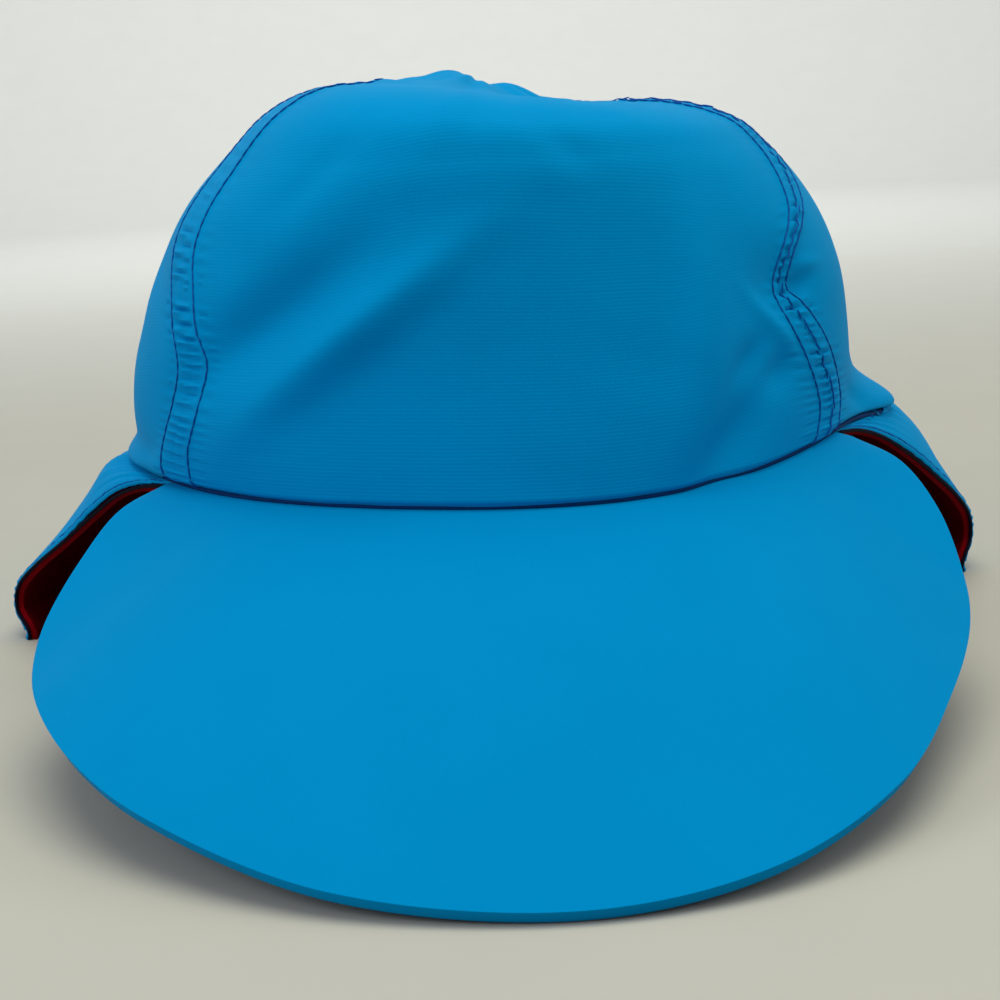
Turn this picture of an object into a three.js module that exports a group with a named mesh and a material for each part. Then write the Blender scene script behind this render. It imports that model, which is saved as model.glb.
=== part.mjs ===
// A soft long-peaked sun cap with a lined flap over the neck and ears, as it stands on a table.
// Millimetres, +Z up. The peak points to -Y. Left (-X) and right (+X) are as seen from the front.
// The finished group has its origin at the middle of the bounding box's floor.
import * as THREE from "three";
import { mergeVertices } from "three/addons/utils/BufferGeometryUtils.js";

// Driving sizes
const RING_HALF_WIDTH = 91;
const RING_HALF_DEPTH = 99;
const RING_HEIGHT = 52;
const CROWN_HEIGHT = 89;
const CROWN_CLOTH = 1.5;
const PEAK_HALF_WIDTH = 103;
const PEAK_REACH = 148;
const PEAK_THICKNESS = 3;
const PEAK_ARCH = 2.5;
const FLAP_LEFT_HALF_WIDTH = 132.5;
const FLAP_RIGHT_HALF_WIDTH = 127.5;
const FLAP_BACK_DEPTH = 128;
const FLAP_CLOTH = 1.3;
const LINING_CLOTH = 1.8;
const FLAP_HEM = 3.4;
const FLAP_WAVE = 1.8;
const FLAP_PUFF = 4;
const SEAM_CLEARANCE = 0.35;

// Angles in degrees round the crown, 0 at the front and positive towards +X
const PEAK_CORNER_ANGLE = 62;
const REAR_SEAM_ANGLE = 121;
const FLAP_LEFT_FOOT_ANGLE = 93;
const FLAP_RIGHT_FOOT_ANGLE = 96;
const FLAP_WAVES = 7;

// Fineness of the cloth grids
const PANEL_RISE_STEPS = 16;
const FRONT_PANEL_STEPS = 20;
const REAR_PANEL_STEPS = 10;
const PEAK_ROUND_STEPS = 34;
const PEAK_AHEAD_STEPS = 6;
const FLAP_ROUND_STEPS = 56;
const FLAP_FALL_STEPS = 9;

// The panels stop a little short of the apex, and the peak and the flap of the peak's corners
const APEX_START = 0.998;
const CORNER_SETBACK = 1;
const FRONT_BLEND = 0.6;
const NORMAL_STEP = 1e-3;

// Crown sections from the ring (at 0) to the apex (at 1). Rises are shares of CROWN_HEIGHT,
// left and right reaches are shares of RING_HALF_WIDTH, front and back ones of RING_HALF_DEPTH.
const CROWN_SECTIONS = [
  { at: 0.0, riseLeft: 0.0, riseRight: 0.03, left: 1.0, right: 0.995, front: 1.0, back: 1.0 },
  { at: 0.12, riseLeft: 0.11, riseRight: 0.14, left: 1.03, right: 0.995, front: 0.99, back: 1.025 },
  { at: 0.25, riseLeft: 0.26, riseRight: 0.29, left: 1.02, right: 0.99, front: 0.975, back: 1.03 },
  { at: 0.38, riseLeft: 0.42, riseRight: 0.445, left: 0.975, right: 0.97, front: 0.965, back: 1.005 },
  { at: 0.5, riseLeft: 0.56, riseRight: 0.585, left: 0.92, right: 0.92, front: 0.957, back: 0.955 },
  { at: 0.61, riseLeft: 0.69, riseRight: 0.7, left: 0.85, right: 0.85, front: 0.948, back: 0.88 },
  { at: 0.71, riseLeft: 0.81, riseRight: 0.79, left: 0.74, right: 0.77, front: 0.925, back: 0.785 },
  { at: 0.8, riseLeft: 0.91, riseRight: 0.86, left: 0.62, right: 0.68, front: 0.86, back: 0.66 },
  { at: 0.88, riseLeft: 0.975, riseRight: 0.9, left: 0.48, right: 0.535, front: 0.69, back: 0.5 },
  { at: 0.94, riseLeft: 1.015, riseRight: 0.905, left: 0.31, right: 0.35, front: 0.43, back: 0.32 },
  { at: 0.975, riseLeft: 1.045, riseRight: 0.925, left: 0.15, right: 0.16, front: 0.18, back: 0.15 },
  { at: 1.0, riseLeft: 1.015, riseRight: 1.015, left: 0.0, right: 0.0, front: 0.0, back: 0.0 },
];

// Side seams of the front panel, in degrees from the front
const SIDE_SEAMS = [
  { at: 0.0, left: 57, right: 56 },
  { at: 0.1, left: 56, right: 58 },
  { at: 0.2, left: 53, right: 55 },
  { at: 0.3, left: 53, right: 49 },
  { at: 0.38, left: 55.5, right: 46.5 },
  { at: 0.45, left: 58, right: 51 },
  { at: 0.55, left: 63, right: 60.5 },
  { at: 0.65, left: 65, right: 67 },
  { at: 0.82, left: 68, right: 73 },
  { at: 1.0, left: 70, right: 72 },
];

// Dents and swellings of the crown cloth. Push, outwards when positive, and lift, upwards, are
// shares of CROWN_HEIGHT. Turn (degrees) and climb (section steps) are how far each one reaches,
// and slope is the turn in degrees for each whole climb of a slanted one.
const CROWN_DENTS = [
  { name: "right lower corner", angle: 88, at: 0.015, turn: 13, climb: 0.075, slope: 0, push: 0.142, lift: -0.006 },
  { name: "left lower roll", angle: -92, at: 0.0, turn: 26, climb: 0.045, slope: 0, push: 0.06, lift: 0 },
  { name: "front edge sag", angle: 21, at: 0.0, turn: 30, climb: 0.12, slope: 0, push: 0, lift: -0.038 },
  { name: "right seam kink", angle: 47, at: 0.38, turn: 8, climb: 0.07, slope: 0, push: -0.035, lift: 0 },
  { name: "front hollow", angle: 11, at: 0.5, turn: 13, climb: 0.25, slope: 10, push: -0.012, lift: 0 },
  { name: "right front ridge", angle: 29.5, at: 0.28, turn: 5, climb: 0.18, slope: 10, push: 0.02, lift: 0 },
  { name: "right low hollow", angle: 33, at: 0.09, turn: 6, climb: 0.1, slope: 35, push: -0.03, lift: 0 },
  { name: "left front ridge", angle: -20, at: 0.37, turn: 7, climb: 0.17, slope: 100, push: 0.036, lift: 0 },
  { name: "left front hollow", angle: -35, at: 0.39, turn: 8, climb: 0.15, slope: 100, push: -0.05, lift: 0 },
  { name: "top left bump", angle: -80, at: 0.955, turn: 50, climb: 0.03, slope: 0, push: 0, lift: 0.02 },
  { name: "top right dip", angle: 60, at: 0.96, turn: 60, climb: 0.025, slope: 0, push: 0, lift: -0.035 },
];

// Edge of the peak from its left corner round the tip to its right corner. Across is a share of
// PEAK_HALF_WIDTH, ahead of PEAK_REACH from the corners' line, height of RING_HEIGHT.
const PEAK_EDGE = [
  { across: -0.79, ahead: 0.0, height: 0.985 },
  { across: -0.888, ahead: 0.064, height: 0.905 },
  { across: -0.962, ahead: 0.149, height: 0.735 },
  { across: -1.018, ahead: 0.25, height: 0.54 },
  { across: -1.02, ahead: 0.355, height: 0.42 },
  { across: -0.966, ahead: 0.505, height: 0.365 },
  { across: -0.857, ahead: 0.66, height: 0.285 },
  { across: -0.703, ahead: 0.786, height: 0.19 },
  { across: -0.369, ahead: 0.94, height: 0.05 },
  { across: 0.049, ahead: 1.0, height: 0.0 },
  { across: 0.369, ahead: 0.953, height: 0.05 },
  { across: 0.631, ahead: 0.808, height: 0.155 },
  { across: 0.808, ahead: 0.59, height: 0.265 },
  { across: 0.926, ahead: 0.385, height: 0.375 },
  { across: 0.958, ahead: 0.27, height: 0.49 },
  { across: 0.948, ahead: 0.155, height: 0.72 },
  { across: 0.895, ahead: 0.066, height: 0.905 },
  { across: 0.805, ahead: 0.0, height: 1.0 },
];

// Fall of the flap from the ring (at 0) to the floor (at 1): fall is a share of the ring's height,
// spread of the plan distance between the ring and the hem. The last step is upright, so that
// the turned hem stands flat on the floor.
const FLAP_SECTIONS = [
  { at: 0.0, fall: 0.0, spread: 0.0 },
  { at: 0.12, fall: 0.03, spread: 0.16 },
  { at: 0.24, fall: 0.1, spread: 0.32 },
  { at: 0.36, fall: 0.22, spread: 0.49 },
  { at: 0.5, fall: 0.4, spread: 0.71 },
  { at: 0.62, fall: 0.56, spread: 0.91 },
  { at: 0.73, fall: 0.7, spread: 1.04 },
  { at: 0.84, fall: 0.84, spread: 1.07 },
  { at: 0.94, fall: 0.95, spread: 1.01 },
  { at: 1.0, fall: 1.0, spread: 1.01 },
];

// Swellings of the flap. Side runs from its left edge (-1) to its right one (1). Turn and fall are
// how far each one reaches round and down, and push, outwards, is a share of RING_HEIGHT.
const FLAP_SWELLINGS = [
  { name: "right swelling", side: 0.86, at: 0.5, turn: 0.15, fall: 0.25, push: 0.11 },
  { name: "left swelling", side: -0.88, at: 0.17, turn: 0.12, fall: 0.16, push: 0.055 },
];
const SWELLING_START = 0.12;

const HEM_START = 0.945;
const HEM_FOLD = 0.02;
const LINING_END = 0.9;

const BLUE_CLOTH = new THREE.MeshStandardMaterial({ color: 0x0078b4, roughness: 0.62, metalness: 0 });
const PEAK_CLOTH = new THREE.MeshStandardMaterial({ color: 0x0089cb, roughness: 0.66, metalness: 0 });
const MAROON_CLOTH = new THREE.MeshStandardMaterial({ color: 0x5a0a12, roughness: 0.95, metalness: 0 });

const radians = THREE.MathUtils.degToRad;
const mix = THREE.MathUtils.lerp;
const smoothstep = THREE.MathUtils.smoothstep;

// Smooth value of every column of a table at a place between its rows
function readTable(rows, at) {
  let index = 0;
  while (index < rows.length - 2 && at > rows[index + 1].at) index += 1;
  const low = rows[index];
  const high = rows[index + 1];
  const span = high.at - low.at;
  const share = (at - low.at) / span;
  const slopeAt = (row, column) => {
    const before = rows[Math.max(row - 1, 0)];
    const after = rows[Math.min(row + 1, rows.length - 1)];
    return (after[column] - before[column]) / (after.at - before.at);
  };
  const value = {};
  for (const column of Object.keys(low)) {
    const startPull = slopeAt(index, column) * span;
    const endPull = slopeAt(index + 1, column) * span;
    const bend = 2 * (low[column] - high[column]) + startPull + endPull;
    const lean = 3 * (high[column] - low[column]) - 2 * startPull - endPull;
    value[column] = ((bend * share + lean) * share + startPull) * share + low[column];
  }
  return value;
}

// Push and lift of all dents at one place of the crown, in millimetres
function dentShift(angle, at) {
  let push = 0;
  let lift = 0;
  for (const dent of CROWN_DENTS) {
    const climb = at - dent.at;
    const away = angle - dent.angle - dent.slope * climb;
    const turn = THREE.MathUtils.euclideanModulo(away + 180, 360) - 180;
    const strength = CROWN_HEIGHT * Math.exp(-((turn / dent.turn) ** 2) - (climb / dent.climb) ** 2);
    push += dent.push * strength;
    lift += dent.lift * strength;
  }
  return { push, lift };
}

// Outer face of the crown at an angle round it and a place between ring and apex
function crownPoint(angle, at) {
  const section = readTable(CROWN_SECTIONS, at);
  const across = Math.sin(radians(angle));
  const ahead = Math.cos(radians(angle));
  const rightShare = smoothstep(across, -1, 1);
  const frontShare = smoothstep(ahead, -FRONT_BLEND, FRONT_BLEND);
  const reachAcross = mix(section.left, section.right, rightShare) * RING_HALF_WIDTH;
  const reachAhead = mix(section.back, section.front, frontShare) * RING_HALF_DEPTH;
  const rise = mix(section.riseLeft, section.riseRight, rightShare) * CROWN_HEIGHT;
  const point = new THREE.Vector3(across * reachAcross, -ahead * reachAhead, RING_HEIGHT + rise);
  const core = new THREE.Vector3(0, 0, RING_HEIGHT + CROWN_HEIGHT / 4);
  const outwards = point.clone().sub(core).normalize();
  const shift = dentShift(angle, at);
  point.addScaledVector(outwards, shift.push);
  point.z += shift.lift;
  return point;
}

// Unit normal of a surface(across, along) from its neighbours, kept inside its edges
function faceNormal(surface, across, along) {
  const right = surface(Math.min(across + NORMAL_STEP, 1), along);
  const left = surface(Math.max(across - NORMAL_STEP, 0), along);
  const after = surface(across, Math.min(along + NORMAL_STEP, 1));
  const before = surface(across, Math.max(along - NORMAL_STEP, 0));
  return right.sub(left).cross(after.sub(before)).normalize();
}

// Closed wall of cloth under a surface(across, along)
function clothWall(surface, acrossSteps, alongPlaces, thickness, faceSign = 1) {
  const positions = [];
  const wallCount = (acrossSteps + 1) * alongPlaces.length;
  for (const side of [0, 1]) {
    for (const along of alongPlaces) {
      for (let column = 0; column <= acrossSteps; column += 1) {
        const across = column / acrossSteps;
        const normal = faceNormal(surface, across, along);
        const depth = faceSign * side * thickness(across, along);
        const point = surface(across, along).addScaledVector(normal, -depth);
        positions.push(point.x, point.y, point.z);
      }
    }
  }
  const row = acrossSteps + 1;
  const last = alongPlaces.length - 1;
  const faces = [];
  const quad = (a, b, c, d) => faces.push(a, b, c, a, c, d);
  for (let along = 0; along < last; along += 1) {
    for (let across = 0; across < acrossSteps; across += 1) {
      const corner = along * row + across;
      quad(corner, corner + 1, corner + row + 1, corner + row);
      const inner = corner + wallCount;
      quad(inner, inner + row, inner + row + 1, inner + 1);
    }
    for (const edge of [0, acrossSteps]) {
      const corner = along * row + edge;
      const rim = [corner, corner + row, corner + row + wallCount, corner + wallCount];
      quad(...(edge === 0 ? rim : rim.reverse()));
    }
  }
  for (let across = 0; across < acrossSteps; across += 1) {
    quad(across, across + wallCount, across + wallCount + 1, across + 1);
    const top = last * row + across;
    quad(top, top + 1, top + 1 + wallCount, top + wallCount);
  }
  if (faceSign < 0) faces.reverse();
  const geometry = new THREE.BufferGeometry();
  geometry.setAttribute("position", new THREE.Float32BufferAttribute(positions, 3));
  geometry.setIndex(faces);
  const merged = mergeVertices(geometry);
  merged.computeVertexNormals();
  return merged;
}

function evenPlaces(start, end, steps) {
  return Array.from({ length: steps + 1 }, (_, index) => mix(start, end, index / steps));
}

function piece(name, geometry, material) {
  const mesh = new THREE.Mesh(geometry, material.clone());
  mesh.name = name;
  return mesh;
}

// One crown panel between two seams, each a function of the place between ring and apex
function crownPanel(name, startSeam, endSeam, acrossSteps) {
  const surface = (across, along) => {
    const at = along * APEX_START;
    const start = startSeam(at);
    const end = endSeam(at);
    const middle = crownPoint((start + end) / 2, at);
    const radius = Math.hypot(middle.x, middle.y);
    const inset = THREE.MathUtils.radToDeg(SEAM_CLEARANCE / 2 / radius);
    return crownPoint(mix(start + inset, end - inset, across), at);
  };
  const places = evenPlaces(0, 1, PANEL_RISE_STEPS);
  const geometry = clothWall(surface, acrossSteps, places, () => CROWN_CLOTH);
  return piece(name, geometry, BLUE_CLOTH);
}

const leftSeam = (at) => -readTable(SIDE_SEAMS, at).left;
const rightSeam = (at) => readTable(SIDE_SEAMS, at).right;

function crownPanels() {
  const rearSeam = () => REAR_SEAM_ANGLE;
  const backSeam = () => 180;
  const otherRearSeam = () => 360 - REAR_SEAM_ANGLE;
  const leftSeamRound = (at) => 360 + leftSeam(at);
  return [
    crownPanel("crown_front_panel", leftSeam, rightSeam, FRONT_PANEL_STEPS),
    crownPanel("crown_side_panel_right", rightSeam, rearSeam, REAR_PANEL_STEPS),
    crownPanel("crown_back_panel_right", rearSeam, backSeam, REAR_PANEL_STEPS),
    crownPanel("crown_back_panel_left", backSeam, otherRearSeam, REAR_PANEL_STEPS),
    crownPanel("crown_side_panel_left", otherRearSeam, leftSeamRound, REAR_PANEL_STEPS),
  ];
}

// Lower edge of the crown, drawn in under its cloth, where the peak and the flap are sewn on
function sewingLine(angle) {
  const edge = crownPoint(angle, 0);
  const inwards = CROWN_CLOTH / Math.hypot(edge.x, edge.y);
  return new THREE.Vector3(edge.x * (1 - inwards), edge.y * (1 - inwards), edge.z - SEAM_CLEARANCE);
}

// Edge of the peak as one smooth curve from corner to corner
function peakEdge() {
  const cornerLine = -RING_HALF_DEPTH * Math.cos(radians(PEAK_CORNER_ANGLE));
  const points = PEAK_EDGE.map((row) => {
    const height = mix(PEAK_THICKNESS, RING_HEIGHT, row.height);
    return new THREE.Vector3(row.across * PEAK_HALF_WIDTH, cornerLine - row.ahead * PEAK_REACH, height);
  });
  return new THREE.CatmullRomCurve3(points, false, "centripetal");
}

function peak() {
  const edge = peakEdge();
  const halfSpan = PEAK_CORNER_ANGLE - CORNER_SETBACK;
  const surface = (across, along) => {
    const seam = sewingLine(mix(-halfSpan, halfSpan, across));
    const point = seam.lerp(edge.getPointAt(across), along);
    point.z += PEAK_ARCH * Math.sin(Math.PI * along) * Math.sin(Math.PI * across);
    return point;
  };
  const places = evenPlaces(0, 1, PEAK_AHEAD_STEPS);
  return piece("peak", clothWall(surface, PEAK_ROUND_STEPS, places, () => PEAK_THICKNESS, -1), PEAK_CLOTH);
}

// Push of all swellings of the flap at one place, in millimetres, none at the sewing line
function swellingPush(side, along) {
  let push = 0;
  for (const swelling of FLAP_SWELLINGS) {
    const round = (side - swelling.side) / swelling.turn;
    const down = (along - swelling.at) / swelling.fall;
    push += swelling.push * RING_HEIGHT * Math.exp(-(round ** 2) - down ** 2);
  }
  return push * smoothstep(along, 0, SWELLING_START);
}

// Outer face of the flap: across runs from its left front edge round the back to its right one
function flapPoint(across, along) {
  const side = across * 2 - 1;
  const section = readTable(FLAP_SECTIONS, along);
  const ringTurn = side * (180 - PEAK_CORNER_ANGLE - CORNER_SETBACK);
  const footAngle = side < 0 ? FLAP_LEFT_FOOT_ANGLE : FLAP_RIGHT_FOOT_ANGLE;
  const halfWidth = side < 0 ? FLAP_LEFT_HALF_WIDTH : FLAP_RIGHT_HALF_WIDTH;
  const hemTurn = side * (180 - footAngle);
  const wave = FLAP_WAVE * Math.cos(FLAP_WAVES * Math.PI * side) * (1 - side * side);
  const point = sewingLine(180 - ringTurn);
  const hemX = (halfWidth + wave) * Math.sin(radians(hemTurn));
  const hemY = (FLAP_BACK_DEPTH + wave) * Math.cos(radians(hemTurn));
  point.x = mix(point.x, hemX, section.spread);
  point.y = mix(point.y, hemY, section.spread);
  const puff = Math.sin(Math.PI * along) * Math.sin(Math.PI * Math.sqrt(along)) * (1 - side ** 12);
  point.z = point.z * (1 - section.fall) + FLAP_PUFF * puff;
  const push = swellingPush(side, along);
  point.x += push * Math.sin(radians(hemTurn));
  point.y += push * Math.cos(radians(hemTurn));
  return point;
}

function flapThickness(across, along) {
  return mix(FLAP_CLOTH, FLAP_HEM, smoothstep(along, HEM_START - HEM_FOLD, HEM_START));
}

function flap() {
  const places = [...evenPlaces(0, HEM_START - HEM_FOLD, FLAP_FALL_STEPS), HEM_START, 1];
  return piece("neck_flap", clothWall(flapPoint, FLAP_ROUND_STEPS, places, flapThickness), BLUE_CLOTH);
}

// Inside of the flap, drawn in under the blue cloth and ending above its turned hem
function flapLining() {
  const surface = (across, along) => {
    const place = along * LINING_END;
    const normal = faceNormal(flapPoint, across, place);
    return flapPoint(across, place).addScaledVector(normal, -FLAP_CLOTH - SEAM_CLEARANCE);
  };
  const places = evenPlaces(0, 1, FLAP_FALL_STEPS);
  const geometry = clothWall(surface, FLAP_ROUND_STEPS, places, () => LINING_CLOTH);
  return piece("neck_flap_lining", geometry, MAROON_CLOTH);
}

// The origin is the middle of the bounding box's floor
const group = new THREE.Group();
group.add(...crownPanels(), peak(), flap(), flapLining());
const bounds = new THREE.Box3().setFromObject(group);
const middle = bounds.getCenter(new THREE.Vector3());
group.position.set(-middle.x, -middle.y, -bounds.min.z);

export default group;
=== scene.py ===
import math

import bmesh
import bpy
import numpy as np
from bpy.props import FloatProperty, FloatVectorProperty, IntProperty, PointerProperty
from mathutils import Matrix, Vector


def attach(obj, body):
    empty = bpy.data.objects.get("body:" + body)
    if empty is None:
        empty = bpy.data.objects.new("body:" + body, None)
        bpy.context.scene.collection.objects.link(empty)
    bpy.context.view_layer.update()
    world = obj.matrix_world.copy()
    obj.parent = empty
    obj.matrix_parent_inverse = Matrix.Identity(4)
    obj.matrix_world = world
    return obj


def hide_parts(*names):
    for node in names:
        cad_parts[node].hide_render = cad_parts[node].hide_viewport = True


bl_info = {
    "name": "Long-peaked sun cap",
    "version": (1, 0, 0),
    "blender": (4, 5, 0),
    "location": "3D View > Sidebar > Sun Cap",
    "description": "Makes the cloth, stitches and stage of a soft sun cap with a neck flap",
    "category": "Add Mesh",
}

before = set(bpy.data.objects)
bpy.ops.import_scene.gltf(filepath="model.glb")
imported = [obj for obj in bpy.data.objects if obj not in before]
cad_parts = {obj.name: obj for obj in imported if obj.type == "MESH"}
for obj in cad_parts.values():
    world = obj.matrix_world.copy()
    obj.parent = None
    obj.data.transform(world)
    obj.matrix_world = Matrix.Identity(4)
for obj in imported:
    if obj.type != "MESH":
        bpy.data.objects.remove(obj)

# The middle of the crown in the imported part's frame, in metres
CROWN_CENTRE = Vector((0.002677, 0.03113, 0.000027))

# Camera at the photo's angle: degrees, metres and millimetres of lens, aimed from the crown's middle
CAMERA_AZIMUTH = -1
CAMERA_ELEVATION = 12
CAMERA_ROLL = -3.5
CAMERA_DISTANCE = 0.49
CAMERA_LENS = 66.24
CAMERA_AIM = Vector((-0.0015, 0, 0.032))

# The floor runs flat, then curves up to a plain wall, in metres from its middle
FLOOR_FLAT = 2.2
FLOOR_CURVE = 0.8
WALL_TOP = 1.4

# Soft lights: name, place, what they face, size, power and colour
CAP_MIDDLE = (0, 0, 0.06)
LIGHTS = (
    ("overhead softbox", (0.1, -0.12, 1.3), CAP_MIDDLE, 1.2, 12, (1, 1, 0.8)),
    ("left softbox", (-1.1, -0.5, 0.75), CAP_MIDDLE, 0.7, 4.6, (0.9, 0.95, 1)),
    ("front softbox", (-0.5, -1.2, 0.3), CAP_MIDDLE, 0.9, 1.2, (0.8, 0.9, 1)),
    ("right softbox", (1.2, -0.2, 0.6), CAP_MIDDLE, 0.7, 2.8, (1, 1, 0.95)),
    ("backdrop light", (0, 1.3, 1.7), (0, 3, 0.7), 1.5, 60, (0.88, 0.95, 1)),
)


def table(columns, *rows):
    """A short table as one array for each named column."""
    return dict(zip(columns.split(), np.array(rows, float).T))


# From the ring (at 0) to the apex (at 1). Rises are shares of the crown's height, reaches are
# shares of the ring's half width or half depth.
CROWN_SECTIONS = table(
    "at rise_left rise_right left right front back",
    (0.0, 0.0, 0.03, 1.0, 0.995, 1.0, 1.0),
    (0.12, 0.11, 0.14, 1.03, 0.995, 0.99, 1.025),
    (0.25, 0.26, 0.29, 1.02, 0.99, 0.975, 1.03),
    (0.38, 0.42, 0.445, 0.975, 0.97, 0.965, 1.005),
    (0.5, 0.56, 0.585, 0.92, 0.92, 0.957, 0.955),
    (0.61, 0.69, 0.7, 0.85, 0.85, 0.948, 0.88),
    (0.71, 0.81, 0.79, 0.74, 0.77, 0.935, 0.785),
    (0.8, 0.93, 0.86, 0.61, 0.68, 0.893, 0.66),
    (0.88, 0.995, 0.905, 0.475, 0.535, 0.765, 0.5),
    (0.94, 1.01, 0.922, 0.31, 0.35, 0.5, 0.32),
    (0.975, 1.012, 0.95, 0.15, 0.16, 0.21, 0.15),
    (1.0, 1.01, 1.01, 0.0, 0.0, 0.0, 0.0),
)

# Side seams of the front panel, in degrees from the front
SIDE_SEAMS = table(
    "at left right",
    (0.0, 57, 56),
    (0.1, 56, 58),
    (0.2, 53, 55),
    (0.3, 52, 50.3),
    (0.38, 55, 48.3),
    (0.45, 58, 51.5),
    (0.55, 63, 61),
    (0.65, 65, 67),
    (0.82, 68, 73),
    (1.0, 70, 72),
)

# Dents and swellings of the crown: where they lie, how far they reach (turn in degrees, climb in
# section steps), how they slant, and their push and lift as shares of the crown's height
CROWN_DENTS = table(
    "angle at turn climb slope push lift",
    (88, 0.012, 14, 0.078, 0, 0.116, -0.006),
    (89, 0.028, 8, 0.045, 0, 0.034, 0),
    (-92, 0.035, 26, 0.035, 0, 0.06, -0.012),
    (21, 0.0, 30, 0.12, 0, 0, -0.038),
    (47, 0.38, 8, 0.07, 0, -0.035, 0),
    (11, 0.5, 13, 0.25, 10, -0.012, 0),
    (29, 0.3, 4.5, 0.2, 12, 0.03, 0),
    (33, 0.09, 5, 0.09, 35, -0.036, 0),
    (43.5, 0.2, 3.4, 0.04, 20, -0.022, 0),
    (-22.5, 0.36, 6, 0.16, 85, 0.046, 0),
    (-36.5, 0.4, 8, 0.15, 85, -0.055, 0),
    (-75, 0.985, 60, 0.012, 0, 0, 0.02),
    (60, 0.955, 50, 0.025, 0, 0, -0.03),
    (80, 0.985, 45, 0.009, 0, 0, 0.012),
)

# Small folds and creases that the solids leave out, with their push in metres
CROWN_CREASES = table(
    "angle at turn climb slope push",
    (37, 0.24, 3.2, 0.045, 40, -0.0016),
    (43, 0.3, 2.2, 0.07, -60, 0.0012),
    (52, 0.37, 3.0, 0.02, 30, -0.0014),
    (56, 0.41, 4.0, 0.018, -30, 0.0008),
    (-50, 0.935, 14, 0.006, 0, 0.0008),
    (58, 0.925, 13, 0.006, 0, 0.0008),
    (-33, 0.7, 5, 0.09, 50, -0.0008),
    (12, 0.76, 4, 0.08, -40, -0.0009),
    (-8, 0.83, 5, 0.06, 30, 0.0007),
    (-62, 0.06, 4, 0.05, 60, 0.0009),
    (72, 0.06, 4, 0.05, -60, -0.001),
    (100, 0.1, 7, 0.05, -90, 0.0012),
    (112, 0.3, 9, 0.12, 60, -0.0015),
    (150, 0.25, 10, 0.15, -50, 0.0014),
    (-150, 0.4, 10, 0.14, 60, -0.0015),
    (-105, 0.2, 8, 0.1, 70, 0.0013),
    (-75, 0.5, 6, 0.12, -60, -0.001),
    (165, 0.62, 12, 0.08, 40, -0.0013),
    (-125, 0.7, 12, 0.07, -40, 0.0012),
)

# Edge of the peak from its left corner round the tip to its right corner, as shares of its half
# width, its reach ahead of the corners and the ring's height
PEAK_EDGE = table(
    "across ahead height",
    (-0.79, 0.0, 0.985),
    (-0.888, 0.064, 0.905),
    (-0.962, 0.149, 0.735),
    (-1.018, 0.25, 0.54),
    (-1.02, 0.355, 0.42),
    (-0.966, 0.505, 0.365),
    (-0.857, 0.66, 0.285),
    (-0.703, 0.786, 0.19),
    (-0.369, 0.94, 0.05),
    (0.049, 1.0, 0.0),
    (0.369, 0.953, 0.05),
    (0.631, 0.808, 0.155),
    (0.808, 0.59, 0.265),
    (0.926, 0.385, 0.375),
    (0.958, 0.27, 0.49),
    (0.948, 0.155, 0.72),
    (0.895, 0.066, 0.905),
    (0.805, 0.0, 1.0),
)

# From the ring (at 0) to the floor (at 1): fall as a share of the ring's height, spread of the
# plan distance between ring and hem
FLAP_SECTIONS = table(
    "at fall spread",
    (0.0, 0.0, 0.0),
    (0.12, 0.03, 0.16),
    (0.24, 0.1, 0.32),
    (0.36, 0.22, 0.49),
    (0.5, 0.4, 0.71),
    (0.62, 0.56, 0.91),
    (0.73, 0.7, 1.04),
    (0.84, 0.84, 1.07),
    (0.94, 0.95, 1.01),
    (1.0, 1.0, 1.01),
)

# Swellings of the flap: where they lie from its left edge (-1) to its right one (1) and from ring
# to hem, how far they reach each way, and their push outwards as a share of the ring's height
FLAP_SWELLINGS = table(
    "side at turn fall push",
    (0.86, 0.5, 0.15, 0.25, 0.11),
    (-0.88, 0.17, 0.12, 0.16, 0.055),
)

# Angles in degrees round the ring, from the front
REAR_SEAM_ANGLE = 121
PEAK_CORNER_ANGLE = 62
CORNER_SETBACK = 1
FLAP_LEFT_FOOT_ANGLE = 93
FLAP_RIGHT_FOOT_ANGLE = 96
FLAP_WAVES = 7

# Places as shares of the way up the crown, or from ring to hem
APEX_START = 0.998
HEM_START = 0.925
LINING_END = 0.9
HEM_STITCH_PLACE = 0.948
EDGE_STITCH_SHARE = 0.0048
FRONT_BLEND = 0.6

# Rough lengths in metres: a seam from ring to apex, the flap round its edge and down its fall
SEAM_RUN = 0.15
FLAP_RUN = 0.62
FLAP_DROP = 0.078

# Steps to the neighbours from which a surface's normals are taken
TURN_STEP = 0.05
PLACE_STEP = 0.0005


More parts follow.
